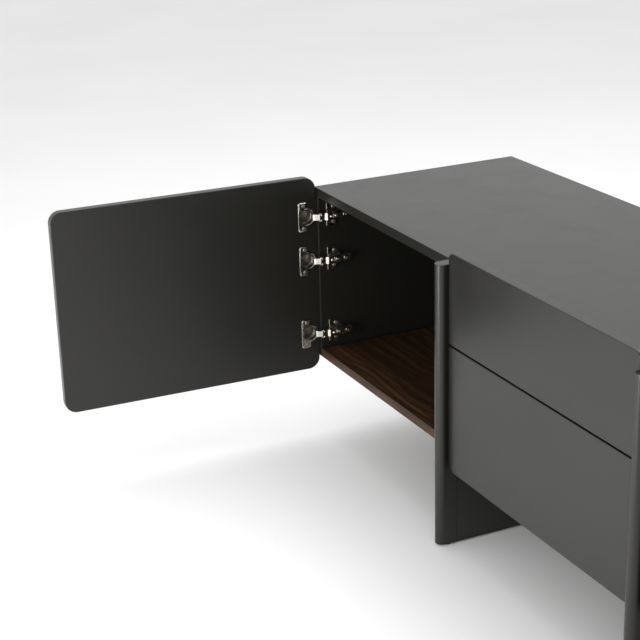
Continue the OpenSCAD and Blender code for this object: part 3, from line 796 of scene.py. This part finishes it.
def rail_fixings(body, node, side, *pairs):
    """Pan-head screws inside pairs of rails; side is 1 for heads that look into the bay."""
    bm = bmesh.new()
    for pair in pairs:
        a, b = in_mm(pair)
        for y in (a.y + 35, a.y + 290):
            for x, s in ((a.x, 1), (b.x, -1)):
                x += s * RAIL_DEPTH if side < 0 else 0
                at = LEFT @ move(x + side * s * RAIL_T, y, (a.z + b.z) / 2)
                screw(bm, at @ turned(90 * s * side, "Y"), 3.0, 1.2, 1.6, 11, spin=y)
    piece(node + "_pan_heads", bm, "zinc_screw", body, node)


def drawer(level, radii):
    """A drawer's front, box and screws; radii are those of the front's four corners."""
    lo, hi = in_mm(level + "_drawer_front")
    body = level + "_drawer"
    front = rounded(lo.x, lo.z, hi.x, hi.z, radii, 6)
    bm = bmesh.new()
    prism(bm, front, lo.y, hi.y, "y", FRONT_EDGE, (), 4, LEFT)
    piece(body + "_front_slab", bm, "grey_lacquer", body, body + "_front")
    for part in ("box_front", "left_side", "right_side", "back"):
        board(f"{body}_{part}", "grey_lacquer", 1.0)
    board(body + "_bottom", "walnut", 0.3)
    low, high = in_mm(body + "_screws")
    r = 4.0
    spots = [(x, z) for x in (low.x + r, high.x - r) for z in (low.z + r, high.z - r)]
    inside = in_mm(body + "_box_front")[1].y
    bm = bmesh.new()
    for n, (x, z) in enumerate(spots):
        screw(bm, LEFT @ move(x, inside, z) @ TO_BACK, r, 1.8, 2.0, 26, spin=31 * n)
    piece(body + "_front_screws", bm, "zinc_screw", body, body + "_screws")
    rail_fixings(body, body + "_rail_screws", -1, body + "_rails")


drawer("upper", [0, 0, DRAWER_CORNER_R, DRAWER_CORNER_R])
drawer("lower", [DRAWER_CORNER_R, DRAWER_CORNER_R, 0, 0])

# ---------------------------------------------------------------- runners


# From an upright to the far side of each kind of rail
RAIL_REACH = {"cabinet": 9.0, "middle": 11.0, "drawer": 13.0}
BALL_R = 1.7


def channel(lips, web, half):
    """A rolled C section between two values of x: its open side and its web."""
    r, t = 1.6, RAIL_T
    sign = 1 if lips > web else -1
    outer = [(lips, -half), (web + sign * r, -half)]
    for a in (0.4, 0.8, 1.2):
        outer.append((web + sign * r * (1 - math.sin(a)), -half + r * (1 - math.cos(a))))
    outer.append((web, -half + r))
    inner = [
        (lips, -half + t),
        (web + sign * (r + 0.4), -half + t),
        (web + sign * t, -half + r + 0.4),
    ]
    points = outer + [(x, -z) for x, z in outer[::-1]]
    return points + [(x, -z) for x, z in inner] + inner[::-1]


def ball_cages(bm, front, at):
    """The two rows of balls in a cabinet rail, each on its strip."""
    row_z, strip_t, strip_l, balls, pitch = 19.6, 0.9, 160, 14, 11.5
    angles = [math.pi * q / 8 for q in range(1, 8)]
    ball = [(BALL_R * math.sin(a), -BALL_R * math.cos(a)) for a in angles]
    ball = [(0, -BALL_R)] + ball + [(0, BALL_R)]
    for s in (-1, 1):
        strip = rounded(4.6, s * row_z - strip_t, 8.6, s * row_z + strip_t, 0.4, 3)
        prism(bm, strip, front + 20, front + 20 + strip_l, "y", 0.2, at=at)
        for k in range(balls):
            lathe(bm, ball, steps=12, at=at @ move(7.0, front + 26 + pitch * k, s * row_z))


def rails(level, kind):
    """A pair of rails; a drawer's have their web to the drawer, the others to the upright."""
    node = f"{level}_{kind}_rails"
    lo, hi = in_mm(node)
    z, half = (lo.z + hi.z) / 2, (hi.z - lo.z) / 2
    bay_left, bay_right = in_mm("left_upright")[1].x, in_mm("right_upright")[0].x
    lips, web = RAIL_REACH[kind], lo.x - bay_left
    if kind == "drawer":
        lips, web = web, lips
    flipped = Matrix.Scale(-1, 4, (1, 0, 0))
    bm = bmesh.new()
    for side in (LEFT @ move(bay_left, 0, z), LEFT @ move(bay_right, 0, z) @ flipped):
        prism(bm, channel(lips, web, half), lo.y, hi.y, "y", 0.0, at=side)
        if kind == "cabinet":
            ball_cages(bm, lo.y, side)
    piece(f"{level}_{kind}_rail_pair", bm, "rail_steel", body_with(node), node)


for level in ("upper", "lower"):
    for kind in ("cabinet", "middle", "drawer"):
        rails(level, kind)

rail_fixings("carcass", "rail_screws", 1, "upper_cabinet_rails", "lower_cabinet_rails")

# Dowels stay as the CAD has them, inside the joints
dowels = frame["nodes"]["panel_dowels"]
dowels.data.materials.clear()
dowels.data.materials.append(FINISH["beech"])

# ---------------------------------------------------------------- studio


def studio():
    """A pale floor, an even white surround, two soft boxes and a strip in front."""
    reach = 12.0
    corners = [(-reach, -reach, 0), (reach, -reach, 0), (reach, reach, 0), (-reach, reach, 0)]
    floor_mesh = bpy.data.meshes.new("floor")
    floor_mesh.from_pydata(corners, [], [(0, 1, 2, 3)])
    floor = bpy.data.objects.new("floor", floor_mesh)
    bpy.context.scene.collection.objects.link(floor)
    n = Net("pale floor")
    cloud = n.noise(1.5, 3.0)
    colour = n.ramp(cloud, [(0.3, (0.86, 0.86, 0.86)), (0.7, (0.89, 0.89, 0.89))])
    floor_mesh.materials.append(n.surface(Base_Color=colour, Roughness=0.9, Specular_IOR_Level=0.1))

    world = bpy.data.worlds.new("studio")
    bpy.context.scene.world = world
    world.use_nodes = True
    background = world.node_tree.nodes["Background"]
    background.inputs["Color"].default_value = (1.0, 1.0, 1.0, 1)
    background.inputs["Strength"].default_value = 0.88

    centre = Vector((0, 0, 0.35))
    for name, place, size, power in (
        ("softbox_above", (-0.8, 0.9, 3.2), (2.6, 2.6), 56.0),
        ("softbox_right", (3.2, -2.6, 2.4), (1.8, 1.8), 20.0),
        ("strip_front", (0.04, -1.9, 0.44), (0.20, 0.8), 27.0),
    ):
        light = bpy.data.lights.new(name, "AREA")
        light.shape = "RECTANGLE"
        light.size, light.size_y = size
        light.energy = power
        lamp = bpy.data.objects.new(name, light)
        lamp.location = place
        lamp.visible_camera = False
        lamp.rotation_euler = (centre - Vector(place)).to_track_quat("-Z", "Y").to_euler()
        bpy.context.scene.collection.objects.link(lamp)

    bpy.context.scene.view_settings.view_transform = "Standard"
    bpy.context.scene.view_settings.look = "None"


studio()


def camera():
    """Stands to the right of the front and looks across the left bay."""
    yaw, pitch, roll = (math.radians(a) for a in (64.797, -20.108, -1.598))
    from_corner = Vector((2.8841, -1.3515, 0.8743))
    level = Vector((math.cos(yaw), math.sin(yaw), 0))
    forward = Vector((-math.sin(yaw), math.cos(yaw), 0))
    ahead = forward * math.cos(pitch) + Vector((0, 0, math.sin(pitch)))
    above = level.cross(ahead)
    right = level * math.cos(roll) + above * math.sin(roll)
    up = above * math.cos(roll) - level * math.sin(roll)
    data = bpy.data.cameras.new("camera")
    data.sensor_width = 36.0
    data.lens = 90.42
    data.clip_start = 0.05
    data.clip_end = 60.0
    data.dof.use_dof = False
    obj = bpy.data.objects.new("camera", data)
    spot = LEFT @ Vector((0, 0, TOP_Z)) + from_corner
    obj.matrix_world = Matrix.Translation(spot) @ Matrix((right, up, -ahead)).transposed().to_4x4()
    bpy.context.scene.collection.objects.link(obj)
    bpy.context.scene.camera = obj


camera()
